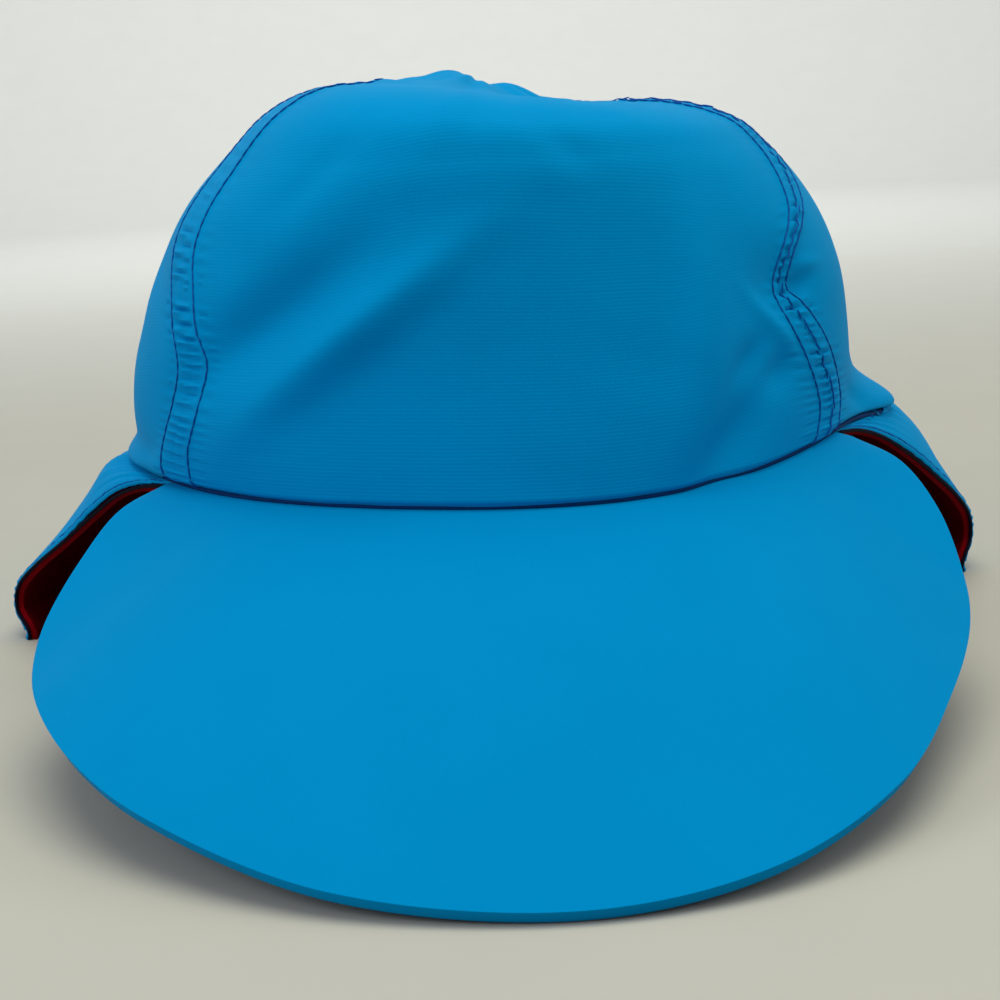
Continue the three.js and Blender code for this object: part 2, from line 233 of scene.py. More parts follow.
class CapSizes(bpy.types.PropertyGroup):
    """Sizes of the cap, its seams and its stitches."""

    ring_half_width: FloatProperty(
        name="Ring half width", description="Half the width of the crown's lower edge",
        default=0.091, unit="LENGTH")
    ring_half_depth: FloatProperty(
        name="Ring half depth", description="Half the depth of the crown's lower edge",
        default=0.099, unit="LENGTH")
    ring_height: FloatProperty(
        name="Ring height", description="Height of the crown's lower edge above the floor",
        default=0.052, unit="LENGTH")
    crown_height: FloatProperty(
        name="Crown height", description="Height of the apex above the ring",
        default=0.089, unit="LENGTH")
    crown_cloth: FloatProperty(
        name="Crown cloth", description="Thickness of the crown's cloth with its backing",
        default=0.0012, unit="LENGTH")
    peak_half_width: FloatProperty(
        name="Peak half width", description="Half the width of the peak",
        default=0.103, unit="LENGTH")
    peak_reach: FloatProperty(
        name="Peak reach", description="How far the peak reaches ahead of its corners",
        default=0.148, unit="LENGTH")
    peak_board: FloatProperty(
        name="Peak board", description="Thickness of the peak with its cover",
        default=0.0027, unit="LENGTH")
    peak_arch: FloatProperty(
        name="Peak arch", description="Crowning of the peak between ring and edge",
        default=0.0025, unit="LENGTH")
    flap_left_half_width: FloatProperty(
        name="Flap left half width", description="Reach of the flap's hem to the left",
        default=0.1325, unit="LENGTH")
    flap_right_half_width: FloatProperty(
        name="Flap right half width", description="Reach of the flap's hem to the right",
        default=0.1275, unit="LENGTH")
    flap_back_depth: FloatProperty(
        name="Flap back depth", description="Reach of the flap's hem to the back",
        default=0.128, unit="LENGTH")
    flap_cloth: FloatProperty(
        name="Flap cloth", description="Thickness of the flap's outer cloth",
        default=0.0011, unit="LENGTH")
    lining_cloth: FloatProperty(
        name="Lining cloth", description="Thickness of the fleece lining",
        default=0.0016, unit="LENGTH")
    flap_wave: FloatProperty(
        name="Flap wave", description="Height of the waves in the hem",
        default=0.0018, unit="LENGTH")
    flap_puff: FloatProperty(
        name="Flap puff", description="How far the flap swells between ring and hem",
        default=0.004, unit="LENGTH")
    seam_band: FloatProperty(
        name="Seam band", description="Distance of each stitch row from its seam",
        default=0.0066, unit="LENGTH")
    seam_rise: FloatProperty(
        name="Seam rise", description="How far the doubled cloth stands up along a seam",
        default=0.0004, unit="LENGTH")
    pucker: FloatProperty(
        name="Pucker", description="Height of the puckers that the stitches draw in",
        default=0.0009, unit="LENGTH")
    stitch_pitch: FloatProperty(
        name="Stitch pitch", description="Distance from one stitch to the next",
        default=0.0027, unit="LENGTH")
    stitch_length: FloatProperty(
        name="Stitch length", description="Length of one stitch on the outside",
        default=0.003, unit="LENGTH")
    thread: FloatProperty(
        name="Thread", description="Thickness of the thread",
        default=0.00046, unit="LENGTH")
    seed: IntProperty(
        name="Seed", description="Seed of the small differences between stitches", default=7)


class CapFinish(bpy.types.PropertyGroup):
    """Colours of the cloth, the thread and the floor."""

    crown_colour: FloatVectorProperty(
        name="Crown colour", description="Woven nylon of the crown and the flap",
        default=(0.0, 0.25, 0.58), subtype="COLOR", size=3, min=0, max=1)
    peak_colour: FloatVectorProperty(
        name="Peak colour", description="Woven nylon drawn over the peak",
        default=(0.0, 0.21, 0.49), subtype="COLOR", size=3, min=0, max=1)
    lining_colour: FloatVectorProperty(
        name="Lining colour", description="Fleece on the inside of the flap",
        default=(0.16, 0.001, 0.004), subtype="COLOR", size=3, min=0, max=1)
    thread_colour: FloatVectorProperty(
        name="Thread colour", description="Thread of the stitches",
        default=(0.004, 0.075, 0.32), subtype="COLOR", size=3, min=0, max=1)
    # Near black: the thread of the overcast edge, darkened as painted shade of the gap between the
    # flap's shell and lining.
    edging_and_gap_shade_colour: FloatVectorProperty(
        name="Edging colour", description="Overcast edge of the flap's opening",
        default=(0.004, 0.003, 0.012), subtype="COLOR", size=3, min=0, max=1)
    floor_colour: FloatVectorProperty(
        name="Floor colour", description="Plain floor of the stage",
        default=(0.46, 0.445, 0.405), subtype="COLOR", size=3, min=0, max=1)


def sizes():
    return bpy.context.scene.cap_sizes


def finish():
    return bpy.context.scene.cap_finish


def mix(first, second, share):
    return first + (second - first) * share


def smooth_step(value, low, high):
    share = np.clip((value - low) / (high - low), 0, 1)
    return share * share * (3 - 2 * share)


def bell(value, reach):
    return np.exp(-((value / reach) ** 2))


def wrapped(angle):
    return (angle + 180) % 360 - 180


def read_table(rows, column, at):
    """Smooth value of one column at places between the table's rows."""
    places, values = rows["at"], rows[column]
    last = len(places) - 1
    index = np.clip(np.searchsorted(places, at) - 1, 0, last - 1)
    steps = np.arange(last + 1)
    before, after = np.maximum(steps - 1, 0), np.minimum(steps + 1, last)
    slopes = (values[after] - values[before]) / (places[after] - places[before])
    span = places[index + 1] - places[index]
    share = (at - places[index]) / span
    low, high = values[index], values[index + 1]
    start, end = slopes[index] * span, slopes[index + 1] * span
    bend = 2 * (low - high) + start + end
    lean = 3 * (high - low) - 2 * start - end
    return ((bend * share + lean) * share + start) * share + low


def dent_strengths(dents, angle, at):
    """How strongly each dent of a table acts at each place."""
    climb = at[:, None] - dents["at"]
    turn = wrapped(angle[:, None] - dents["angle"] - dents["slope"] * climb)
    return bell(turn, dents["turn"]) * bell(climb, dents["climb"])


def paired(first, second):
    """Two inputs as float arrays of one shape."""
    return np.broadcast_arrays(np.asarray(first, float), np.asarray(second, float))


def units(vectors):
    return vectors / np.maximum(np.linalg.norm(vectors, axis=1), 1e-12)[:, None]


def crown_surface(angle, at):
    """Plain outer face of the crown at angles round it and places between ring and apex."""
    cap = sizes()
    angle, at = paired(angle, at)
    across, ahead = np.sin(np.radians(angle)), np.cos(np.radians(angle))
    right = smooth_step(across, -1, 1)
    front = smooth_step(ahead, -FRONT_BLEND, FRONT_BLEND)

    def section(column):
        return read_table(CROWN_SECTIONS, column, at)

    reach_across = mix(section("left"), section("right"), right) * cap.ring_half_width
    reach_ahead = mix(section("back"), section("front"), front) * cap.ring_half_depth
    rise = mix(section("rise_left"), section("rise_right"), right) * cap.crown_height
    points = np.stack([across * reach_across, -ahead * reach_ahead, cap.ring_height + rise], 1)
    outwards = units(points - (0, 0, cap.ring_height + cap.crown_height / 4))
    strengths = dent_strengths(CROWN_DENTS, angle, at) * cap.crown_height
    points += outwards * (strengths @ CROWN_DENTS["push"])[:, None]
    points[:, 2] += strengths @ CROWN_DENTS["lift"]
    return points


def normals_of(surface, across, along, across_step, along_step):
    """Unit normals of a surface from its neighbours, kept between its ends along it."""
    right = surface(across + across_step, along)
    left = surface(across - across_step, along)
    after = surface(across, np.minimum(along + along_step, 1))
    before = surface(across, np.maximum(along - along_step, 0))
    return units(np.cross(right - left, after - before))


def left_seam(at):
    return -read_table(SIDE_SEAMS, "left", at)


def right_seam(at):
    return read_table(SIDE_SEAMS, "right", at)


def rear_right_seam(at):
    return np.full_like(at, REAR_SEAM_ANGLE)


def rear_left_seam(at):
    return np.full_like(at, -REAR_SEAM_ANGLE)


def back_seam(at):
    return np.full_like(at, 180.0)


# Each seam with the depth of its groove and the strength of its puckers
CROWN_SEAMS = (
    (left_seam, 0.00012, 1.0),
    (right_seam, 0.0005, 1.1),
    (rear_right_seam, 0.0003, 0.8),
    (rear_left_seam, 0.0003, 0.8),
    (back_seam, 0.0003, 0.8),
)


def ripple(run, phase):
    """Uneven ripples along a seam, about 3 mm apart."""
    sway = 1.9 * np.sin(run * 270 + phase) + 1.1 * np.sin(run * 97 + 2 * phase)
    return 0.6 * np.sin(run * 1730 + sway) + 0.4 * np.sin(run * 2590 - sway + phase)


def crinkle(points):
    """Slack of the cloth as soft waves of several lengths."""
    x, y, z = (points * 1000).T
    soft = np.sin(0.081 * x + 0.05 * z + 1.3 * np.sin(0.043 * z + 0.02 * y))
    soft += np.sin(0.067 * y - 0.09 * z + 1.1 * np.sin(0.05 * x))
    fine = np.sin(0.31 * x + 0.17 * z + 1.7 * np.sin(0.12 * z - 0.09 * x))
    fine += np.sin(0.27 * z - 0.22 * y + 1.5 * np.sin(0.15 * y + 0.07 * x))
    return 0.00016 * soft + 0.00005 * fine


def seam_reach(seam, at):
    """Distance of the stitch rows from a seam, less where the right seam is drawn together."""
    reach = np.full_like(at, sizes().seam_band)
    if seam is right_seam:
        reach *= 1.1 - 0.68 * bell(at - 0.42, 0.12)
    if seam is left_seam:
        reach *= 1 + 0.15 * smooth_step(at, 0.4, 0.6) - 0.22 * bell(at - 0.31, 0.1)
    return reach


def crown_detail(angle, at, points):
    """Height of seams, puckers, creases and slack over the plain crown."""
    cap = sizes()
    height = dent_strengths(CROWN_CREASES, angle, at) @ CROWN_CREASES["push"]
    height += crinkle(points)
    radius = np.hypot(points[:, 0], points[:, 1])
    run = at * SEAM_RUN
    fade = smooth_step(1 - at, 0.01, 0.06)
    for number, (seam, groove, drawn) in enumerate(CROWN_SEAMS):
        away = np.radians(wrapped(angle - seam(at))) * radius
        reach = seam_reach(seam, at)
        band = 1 - smooth_step(np.abs(away), reach, reach + 0.0014)
        rows = bell(np.abs(away) - reach, 0.0005)
        height += fade * (cap.seam_rise * band - 0.00025 * rows)
        height -= fade * groove * bell(away, 0.0006)
        gather = 0.3 + 0.9 * bell(at - 0.37, 0.17)
        window = 1 - smooth_step(np.abs(away), reach * 0.45, reach * 0.95)
        window += 0.4 * bell(np.abs(away) - reach * 1.5, reach * 0.4) + 0.08
        window *= (1 - smooth_step(np.abs(away), reach * 2, reach * 3)) * reach / cap.seam_band
        waves = ripple(run + away * 0.1, number * 1.7)
        height += fade * drawn * cap.pucker * gather * window * waves
    height -= 0.0011 * bell(run, 0.0013)
    height -= 0.0028 * bell(1 - at, 0.006)
    pleats = np.sin(np.radians(angle) * 9) + 0.6 * np.sin(np.radians(angle) * 14 + 1)
    height += 0.00035 * bell(at - 0.965, 0.03) * pleats
    return height


def crown_cloth(angle, at):
    """Outer face of the crown's cloth with all its detail."""
    angle, at = paired(angle, at)
    points = crown_surface(angle, at)
    normals = normals_of(crown_surface, angle, at, TURN_STEP, PLACE_STEP)
    return points + normals * crown_detail(angle, at, points)[:, None]


def sewing_line(angle):
    """Lower edge of the crown, drawn in under its cloth, where peak and flap are sewn on."""
    edge = crown_surface(angle, np.zeros_like(angle))
    radius = np.hypot(edge[:, 0], edge[:, 1])
    inwards = (1 - 0.0015 / radius)[:, None]
    return np.concatenate([edge[:, :2] * inwards, edge[:, 2:] - 0.00035], 1)


def curve_through(points, shares):
    """Places at even shares of the length of a smooth curve through points."""
    ends = [2 * points[0] - points[1], *points, 2 * points[-1] - points[-2]]
    run = []
    for first, second, third, fourth in zip(ends, ends[1:], ends[2:], ends[3:]):
        gaps = [math.sqrt(np.linalg.norm(b - a))
                for a, b in ((first, second), (second, third), (third, fourth))]
        pull_in = (second - first) / gaps[0] - (third - first) / (gaps[0] + gaps[1])
        pull_in = (pull_in + (third - second) / gaps[1]) * gaps[1]
        pull_out = (third - second) / gaps[1] - (fourth - second) / (gaps[1] + gaps[2])
        pull_out = (pull_out + (fourth - third) / gaps[2]) * gaps[1]
        for step in np.linspace(0, 1, 24, endpoint=False):
            bend = 2 * (second - third) + pull_in + pull_out
            lean = 3 * (third - second) - 2 * pull_in - pull_out
            run.append(((bend * step + lean) * step + pull_in) * step + second)
    run = np.array([*run, points[-1]])
    lengths = np.concatenate([[0], np.cumsum(np.linalg.norm(np.diff(run, axis=0), axis=1))])
    wanted = np.asarray(shares) * lengths[-1]
    return np.stack([np.interp(wanted, lengths, run[:, axis]) for axis in range(3)], 1)


def peak_edge(across):
    cap = sizes()
    corner = -cap.ring_half_depth * math.cos(math.radians(PEAK_CORNER_ANGLE))
    points = np.stack([
        PEAK_EDGE["across"] * cap.peak_half_width,
        corner - PEAK_EDGE["ahead"] * cap.peak_reach,
        mix(cap.peak_board, cap.ring_height, PEAK_EDGE["height"]),
    ], 1)
    return curve_through(points, across)


def peak_surface(across, along):
    """Upper face of the peak from the sewing line (along 0) to its edge (along 1)."""
    cap = sizes()
    across, along = paired(across, along)
    span = PEAK_CORNER_ANGLE - CORNER_SETBACK
    seam = sewing_line(mix(-span, span, across))
    points = mix(seam, peak_edge(np.clip(across, 0, 1)), along[:, None])
    points[:, 2] += cap.peak_arch * np.sin(np.pi * along) * np.sin(np.pi * np.clip(across, 0, 1))
    return points


def flap_surface(across, along):
    """Outer face of the flap from its left front edge round the back to its right one."""
    cap = sizes()
    across, along = paired(across, along)
    side = across * 2 - 1
    fall = read_table(FLAP_SECTIONS, "fall", along)
    spread = read_table(FLAP_SECTIONS, "spread", along)
    points = sewing_line(180 - side * (180 - PEAK_CORNER_ANGLE - CORNER_SETBACK))
    foot = np.where(side < 0, FLAP_LEFT_FOOT_ANGLE, FLAP_RIGHT_FOOT_ANGLE)
    half = np.where(side < 0, cap.flap_left_half_width, cap.flap_right_half_width)
    turn = np.radians(side * (180 - foot))
    inner = np.clip(1 - side * side, 0, 1)
    wave = cap.flap_wave * np.cos(FLAP_WAVES * np.pi * side) * inner
    points[:, 0] = mix(points[:, 0], (half + wave) * np.sin(turn), spread)
    points[:, 1] = mix(points[:, 1], (cap.flap_back_depth + wave) * np.cos(turn), spread)
    puff = np.sin(np.pi * along) * np.sin(np.pi * np.sqrt(along)) * (1 - np.clip(side ** 12, 0, 1))
    points[:, 2] = points[:, 2] * (1 - fall) + cap.flap_puff * puff
    strengths = bell(side[:, None] - FLAP_SWELLINGS["side"], FLAP_SWELLINGS["turn"])
    strengths = strengths * bell(along[:, None] - FLAP_SWELLINGS["at"], FLAP_SWELLINGS["fall"])
    push = strengths @ FLAP_SWELLINGS["push"] * cap.ring_height * smooth_step(along, 0, 0.12)
    points[:, 0] += push * np.sin(turn)
    points[:, 1] += push * np.cos(turn)
    return points


def edge_distance(across, along):
    """Rough distance in metres from the flap's nearer front edge, and from its hem."""
    side = np.minimum(across, 1 - across) * FLAP_RUN
    return side, (1 - along) * FLAP_DROP


def flap_detail(across, along, points):
    """Height of hem, edge stitching, gathers and slack over the plain flap."""
    cap = sizes()
    side, hem = edge_distance(across, along)
    calm = smooth_step(hem, 0.002, 0.012)
    height = calm * crinkle(points) * 1.6
    run = across * FLAP_RUN
    gathers = ripple(run * 0.45, 0.6) * bell(along, 0.22) * smooth_step(along, 0.02, 0.1)
    height += 0.0005 * gathers * smooth_step(side, 0.0, 0.01)
    for away in (side - 0.003, hem - 0.004):
        height -= 0.00035 * bell(away, 0.0006)
    height += 0.00022 * ripple(along * 0.08, 2.1) * bell(side, 0.005)
    height += 0.00016 * calm * ripple(run, 1.1) * bell(hem - 0.004, 0.004)
    height -= 0.0006 * bell(side, 0.0007)
    return height


def flap_outside(across, along):
    across, along = paired(across, along)
    points = flap_surface(across, along)
    normals = normals_of(flap_surface, across, along, PLACE_STEP, PLACE_STEP)
    return points + normals * flap_detail(across, along, points)[:, None]


def under_flap(depth):
    """The flap's face let in by a depth, as a surface of its own."""
    def surface(across, along):
        across, along = paired(across, along)
        normals = normals_of(flap_surface, across, along, PLACE_STEP, PLACE_STEP)
        return flap_surface(across, along) - normals * depth
    return surface


def eased(share, ease):
    """Grid places drawn towards both ends, so that the edges are the finest part."""
    return share - ease * np.sin(2 * np.pi * share) / (2 * np.pi)


def mesh_object(bm, name, material):
    """A smooth object of one material, made of a bmesh."""
    mesh = bpy.data.meshes.new(name)
    bm.to_mesh(mesh)
    bm.free()
    mesh.shade_smooth()
    mesh.materials.append(material)
    made = bpy.data.objects.new(name, mesh)
    bpy.context.scene.collection.objects.link(made)
    return made


def finished(bm, name, material):
    """A piece of the cap, moved to the crown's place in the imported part."""
    bmesh.ops.translate(bm, verts=bm.verts, vec=CROWN_CENTRE)
    piece = mesh_object(bm, name, material)
    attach(piece, "root")
    return piece


def cloth_sheet(name, surface, across_steps, along_steps, material, ease=0.5, up=True):
    """A sheet of cloth laid on surface(across, along), with its UV map in metres of cloth."""
    bm = bmesh.new()
    bmesh.ops.create_grid(bm, x_segments=across_steps, y_segments=along_steps, size=0.5)
    flat = np.array([vert.co[:2] for vert in bm.verts]) + 0.5
    across, along = eased(flat.T, ease)
    points = surface(across, along)
    order = np.lexsort((flat[:, 0].round(6), flat[:, 1].round(6)))
    columns = int((flat[:, 1].round(6) == flat[order[0], 1].round(6)).sum())
    grid = points[order].reshape(-1, columns, 3)
    round_run = np.pad(np.linalg.norm(np.diff(grid, axis=1), axis=2), ((0, 0), (1, 0))).cumsum(1)
    round_run -= round_run[:, columns // 2][:, None]
    rise_run = np.pad(np.linalg.norm(np.diff(grid, axis=0), axis=2), ((1, 0), (0, 0))).cumsum(0)
    runs = np.zeros((len(points), 2))
    runs[order] = np.stack([round_run.ravel(), rise_run.ravel()], 1)
    weave = bm.loops.layers.uv.new("cloth")
    for vert, point in zip(bm.verts, points):
        vert.co = point
    for face in bm.faces:
        for loop in face.loops:
            loop[weave].uv = runs[loop.vert.index]
    if not up:
        bmesh.ops.reverse_faces(bm, faces=bm.faces)
    return finished(bm, name, material)


def thicken(piece, thickness, rounding, segments=3):
    """Gives a sheet its thickness under its face, and rounds its cut edges."""
    wall = piece.modifiers.new("thickness", "SOLIDIFY")
    wall.thickness = thickness
    wall.offset = -1
    wall.use_even_offset = False
    if rounding:
        edge = piece.modifiers.new("rounding", "BEVEL")
        edge.width = rounding
        edge.segments = segments
        edge.limit_method = "ANGLE"
        edge.angle_limit = math.radians(50)
        edge.use_clamp_overlap = True
        edge.harden_normals = False


def tube(name, points, radius, material, sides=8):
    """A round cord along points, with closed ends."""
    bm = bmesh.new()
    steps = len(points) - 1
    bmesh.ops.create_grid(bm, x_segments=steps, y_segments=sides, size=0.5)
    forward = units(np.gradient(points, axis=0))
    side = units(np.cross(forward, (0, 0, 1)))
    over = np.cross(side, forward)
    closing = np.ones(steps + 1)
    closing[0] = closing[-1] = 0.02
    for vert in bm.verts:
        place = round((vert.co.x + 0.5) * steps)
        turn = (vert.co.y + 0.5) * 2 * math.pi
        reach = radius * closing[place]
        vert.co = points[place] + reach * (math.cos(turn) * side[place] + math.sin(turn) * over[place])
    bmesh.ops.remove_doubles(bm, verts=bm.verts, dist=radius * 0.01)
    bmesh.ops.holes_fill(bm, edges=[edge for edge in bm.edges if edge.is_boundary])
    bmesh.ops.recalc_face_normals(bm, faces=bm.faces)
    return finished(bm, name, material)


def stitch_row(bm, points, normals):
    """Stitches of thread along a line of points on the cloth."""
    cap = sizes()
    chance = np.random.default_rng(cap.seed + len(bm.verts))
    steps = np.linalg.norm(np.diff(points, axis=0), axis=1)
    lengths = np.concatenate([[0], np.cumsum(steps)])
    count = int(lengths[-1] / cap.stitch_pitch)
    middles = (np.arange(count) + 0.5) * cap.stitch_pitch
    reach = cap.stitch_length / 2

    def at(where, values):
        return np.stack([np.interp(where, lengths, values[:, axis]) for axis in range(3)], 1)

    centres = at(middles, points)
    forwards = units(at(middles + reach, points) - at(middles - reach, points))
    ups = units(at(middles, normals))
    sides = units(np.cross(ups, forwards))
    for centre, forward, upward, side in zip(centres, forwards, ups, sides):
        lean = chance.uniform(-0.07, 0.07)
        lie = Vector(forward + side * lean).normalized()
        across = Vector(side - forward * lean).normalized()
        place = Vector(centre) + Vector(upward) * cap.thread * 0.45
        turn = Matrix((across * cap.thread / 2, Vector(upward) * cap.thread / 2, lie * reach))
        matrix = Matrix.Translation(place) @ turn.transposed().to_4x4()
        bmesh.ops.create_uvsphere(bm, u_segments=6, v_segments=6, radius=1, matrix=matrix)


class Nodes:
    """Short hand for the nodes of one material."""

    def __init__(self, name):
        self.material = bpy.data.materials.new(name)
        self.material.use_nodes = True
        self.tree = self.material.node_tree
        self.shader = self.tree.nodes["Principled BSDF"]

    def add(self, kind, inputs=(), **settings):
        node = self.tree.nodes.new(kind)
        for key, value in settings.items():
            setattr(node, key, value)
        for key, value in dict(inputs).items():
            if isinstance(value, bpy.types.NodeSocket):
                self.tree.links.new(value, node.inputs[key])
            else:
                node.inputs[key].default_value = value
        return node

    def math(self, operation, first, second):
        node = self.add("ShaderNodeMath", {0: first, 1: second}, operation=operation)
        return node.outputs[0]

    def colour(self, share, first, second):
        node = self.add("ShaderNodeMix", {"Factor": share}, data_type="RGBA")
        node.inputs[6].default_value = (*first, 1)
        node.inputs[7].default_value = (*second, 1)
        return node.outputs[2]

    def weighted(self, first, first_share, second, second_share):
        """Sum of two values, each times its share."""
        first_part = self.math("MULTIPLY", first, first_share)
        second_part = self.math("MULTIPLY", second, second_share)
        return self.math("ADD", first_part, second_part)

    def wire(self, socket, value):
        self.tree.links.new(value, self.shader.inputs[socket])

    def noise(self, vector, scale, detail=2.0, roughness=0.5):
        inputs = {"Vector": vector, "Scale": scale, "Detail": detail, "Roughness": roughness}
        return self.add("ShaderNodeTexNoise", inputs).outputs["Fac"]

    def bump(self, height, strength, distance, normal=None):
        inputs = {"Height": height, "Strength": strength, "Distance": distance}
        if normal is not None:
            inputs["Normal"] = normal
        return self.add("ShaderNodeBump", inputs).outputs["Normal"]

    def plain(self, roughness=None, specular=0.3, sheen=0.0, tint=(1, 1, 1)):
        """Sets what is the same all over on the shader's own sockets."""
        self.shader.inputs["Specular Tint"].default_value = (*tint, 1)
        self.shader.inputs["Sheen Tint"].default_value = (*tint, 1)
        if roughness is not None:
            self.shader.inputs["Roughness"].default_value = roughness
        self.shader.inputs["Specular IOR Level"].default_value = specular
        self.shader.inputs["Sheen Weight"].default_value = sheen
        self.shader.inputs["Sheen Roughness"].default_value = 0.5


def shade(colour, factor):
    return tuple(min(max(part * factor, 0), 1) for part in colour)


def woven_nylon(name, colour, rib_strength):
    """Blue nylon with fine cross ribs, fainter warp threads and soft patches of tone."""
    nodes = Nodes(name)
    cloth = nodes.add("ShaderNodeUVMap", uv_map="cloth").outputs["UV"]
    place = nodes.add("ShaderNodeTexCoord").outputs["Object"]
    ribs = nodes.add(
        "ShaderNodeTexWave",
        {"Vector": cloth, "Scale": 393.0, "Distortion": 1.2, "Detail": 2.0, "Detail Scale": 0.35},
        bands_direction="Y", wave_profile="SIN").outputs["Fac"]
    warp = nodes.add(
        "ShaderNodeTexWave",
        {"Vector": cloth, "Scale": 620.0, "Distortion": 0.8, "Detail": 1.0, "Detail Scale": 0.3},
        bands_direction="X", wave_profile="SIN").outputs["Fac"]
    slubs = nodes.noise(
        nodes.add("ShaderNodeMapping", {"Vector": cloth, "Scale": (60, 1600, 1)}).outputs[0], 1.0, 3.0)
    patches = nodes.noise(place, 22.0, 3.0)
    weave = nodes.weighted(ribs, 0.5, slubs, 0.5)
    tone = nodes.weighted(weave, rib_strength, patches, 0.3)
    blended = nodes.colour(tone, shade(colour, 1.1), shade(colour, 0.72))
    nodes.wire("Base Color", blended)
    threads = nodes.bump(warp, 0.08, 0.0001)
    ribbed = nodes.bump(weave, 0.35 * rib_strength, 0.00018, threads)
    nodes.wire("Normal", ribbed)
    rough = nodes.math("ADD", nodes.math("MULTIPLY", patches, 0.12), 0.52)
    nodes.wire("Roughness", rough)
    nodes.plain(specular=0.015, sheen=0.05, tint=(0.0, 0.6, 1.0))
    return nodes.material


def fleece(name, colour):
    """Brushed maroon fleece: a mottled pile with short fuzz."""
    nodes = Nodes(name)
    place = nodes.add("ShaderNodeTexCoord").outputs["Object"]
    pile = nodes.noise(place, 900.0, 4.0, 0.65)
    tufts = nodes.noise(place, 260.0, 3.0, 0.6)
    tone = nodes.weighted(pile, 0.6, tufts, 0.5)
    blended = nodes.colour(tone, shade(colour, 0.5), shade(colour, 1.35))
    nodes.wire("Base Color", blended)
    soft = nodes.bump(tufts, 0.5, 0.0006)
    fuzzy = nodes.bump(pile, 0.5, 0.0004, soft)
    nodes.wire("Normal", fuzzy)
    nodes.plain(roughness=0.95, specular=0.08, sheen=0.1, tint=(0.7, 0.03, 0.06))
    return nodes.material


def twisted_thread(name, colour):
    """Polyester thread with a fine twist and a slight gloss."""
    nodes = Nodes(name)
    place = nodes.add("ShaderNodeTexCoord").outputs["Object"]
    twist = nodes.add(
        "ShaderNodeTexWave", {"Vector": place, "Scale": 900.0, "Distortion": 1.0},
        bands_direction="DIAGONAL").outputs["Fac"]
    wear = nodes.noise(place, 120.0, 2.0)
    tone = nodes.weighted(twist, 0.5, wear, 0.5)
    blended = nodes.colour(tone, shade(colour, 0.6), shade(colour, 1.5))
    nodes.wire("Base Color", blended)
    nodes.wire("Normal", nodes.bump(twist, 0.3, 0.0001))
    nodes.plain(roughness=0.65, specular=0.06)
    return nodes.material


def plain_floor(name, colour):
    """Pale matt floor with a hardly seen grain."""
    nodes = Nodes(name)
    place = nodes.add("ShaderNodeTexCoord").outputs["Object"]
    grain = nodes.noise(place, 30.0, 3.0)
    blended = nodes.colour(grain, shade(colour, 1.02), shade(colour, 0.97))
    nodes.wire("Base Color", blended)
    nodes.plain(roughness=0.8, specular=0.2)
    return nodes.material


def material_once(name, maker, *values):
    """The named material, made the first time that it is asked for."""
    return bpy.data.materials.get(name) or maker(name, *values)


def crown_nylon():
    return material_once("crown nylon", woven_nylon, tuple(finish().crown_colour), 0.45)


def peak_nylon():
    return material_once("peak nylon", woven_nylon, tuple(finish().peak_colour), 0.05)


def thread_material():
    return material_once("navy thread", twisted_thread, tuple(finish().thread_colour))


def dress(node):
    """The piece stands for its CAD node, which is hidden."""
    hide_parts(node)


# Cloth panel, its CAD node, the seams it lies between, its grid, and the size and flat area that
# it was cut to. The area is the panel's arc of the ring, times 0.164 m over the crown, times 0.69
# for the gore's narrowing.
CROWN_PANELS = (
    ("crown_front_cloth", "crown_front_panel", left_seam, right_seam, 0, 170, (0.19, 0.175), 0.0209),
    ("crown_side_cloth_right", "crown_side_panel_right", right_seam, rear_right_seam, 0, 100,
     (0.13, 0.165), 0.0127),
    ("crown_back_cloth_right", "crown_back_panel_right", rear_right_seam, back_seam, 0, 90,
     (0.11, 0.17), 0.0109),
    ("crown_back_cloth_left", "crown_back_panel_left", back_seam, rear_left_seam, 360, 90,
     (0.11, 0.17), 0.0109),
    ("crown_side_cloth_left", "crown_side_panel_left", rear_left_seam, left_seam, 0, 100,
     (0.13, 0.165), 0.0125),
)


class CAP_OT_crown(bpy.types.Operator):
    """Make the crown's five cloth panels with their seams, puckers and creases."""

    bl_idname = "cap.crown"
    bl_label = "Crown"

    def execute(self, context):
        cap = sizes()
        for name, node, start_seam, end_seam, turned, steps, flat, area in CROWN_PANELS:
            def surface(across, along, start=start_seam, end=end_seam, turned=turned):
                at = along * APEX_START
                return crown_cloth(mix(start(at), end(at) + turned, across), at)
            piece = cloth_sheet(name, surface, steps, 190, crown_nylon())
            thicken(piece, cap.crown_cloth, 0.00035, 2)
            dress(node)
        return {"FINISHED"}


class CAP_OT_binding(bpy.types.Operator):
    """Make the cord of navy thread that is sewn in along the crown's lower edge, darkened as painted
    shade of the slit there.
    """

    bl_idname = "cap.binding"
    bl_label = "Ring binding"

    def execute(self, context):
        angle = np.linspace(-180, 180, 361)
        edge = crown_surface(angle, np.zeros_like(angle))
        radius = np.hypot(edge[:, 0], edge[:, 1])
        edge[:, :2] *= (1 - 0.0013 / radius)[:, None]
        edge[:, 2] -= 0.0002
        # The thread's navy at 0.35: a real sewn-in binding, darkened as painted shade of the gap under
        # the crown's lower edge.
        navy = material_once("navy cord", twisted_thread, shade(finish().thread_colour, 0.35))
        tube("ring_binding_and_gap_shade", edge, 0.0006, navy)
        return {"FINISHED"}


class CAP_OT_peak(bpy.types.Operator):
    """Make the long peak, nylon drawn smooth over a foam board."""

    bl_idname = "cap.peak"
    bl_label = "Peak"

    def execute(self, context):
        piece = cloth_sheet("peak_cloth", peak_surface, 240, 70, peak_nylon(), up=False)
        thicken(piece, sizes().peak_board, 0.0012, 4)
        dress("peak")
        return {"FINISHED"}


